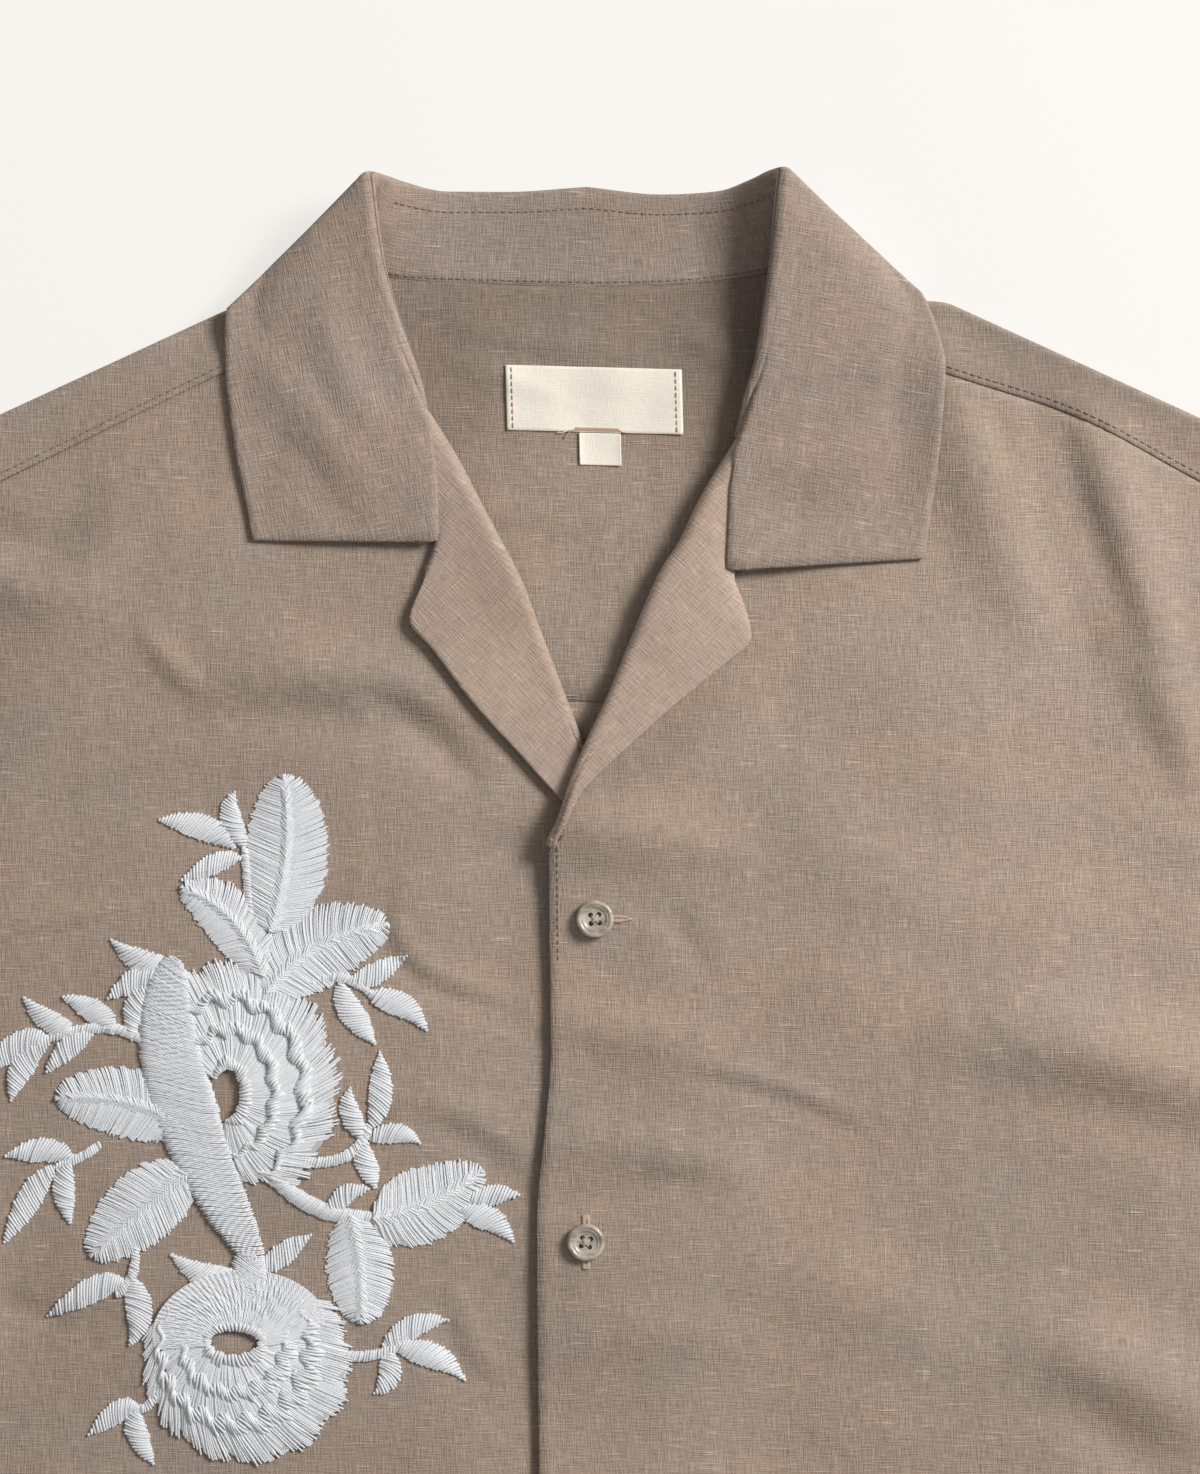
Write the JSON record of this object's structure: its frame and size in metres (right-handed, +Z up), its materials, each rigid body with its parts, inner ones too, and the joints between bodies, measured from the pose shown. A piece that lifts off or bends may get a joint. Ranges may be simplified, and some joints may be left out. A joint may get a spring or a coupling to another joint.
{
  "type": "short-sleeved camp-collar shirt",
  "caption": "Short-sleeved linen shirt with a flat camp collar and buttoned front, laid flat, with raised white flower and leaf embroidery on one side of the chest.",
  "frame": {"origin": "on the surface the shirt lies on, under the middle of its bounding box", "axes": "+X to the wearer's left side, +Y towards the collar, +Z up from the surface"},
  "size_m": [0.895, 0.745, 0.0223],
  "materials": {
    "linen": "matte",
    "embroidery_thread": "satin",
    "label_weave": "satin",
    "button_shell": "gloss"
  },
  "bodies": {
    "root": {"back_panel": "linen", "yoke": "linen", "front_right": "linen", "front_left": "linen", "facing_right": "linen", "facing_left": "linen", "collar": "linen", "sleeve_right": "linen", "sleeve_left": "linen", "label": "label_weave", "size_tab": "label_weave", "button_1": "button_shell", "button_2": "button_shell", "button_3": "button_shell", "button_4": "button_shell", "button_5": "button_shell", "embroidery_1": "embroidery_thread", "embroidery_2": "embroidery_thread", "embroidery_3": "embroidery_thread", "embroidery_4": "embroidery_thread", "embroidery_5": "embroidery_thread", "embroidery_6": "embroidery_thread"}
  },
  "joints": []
}
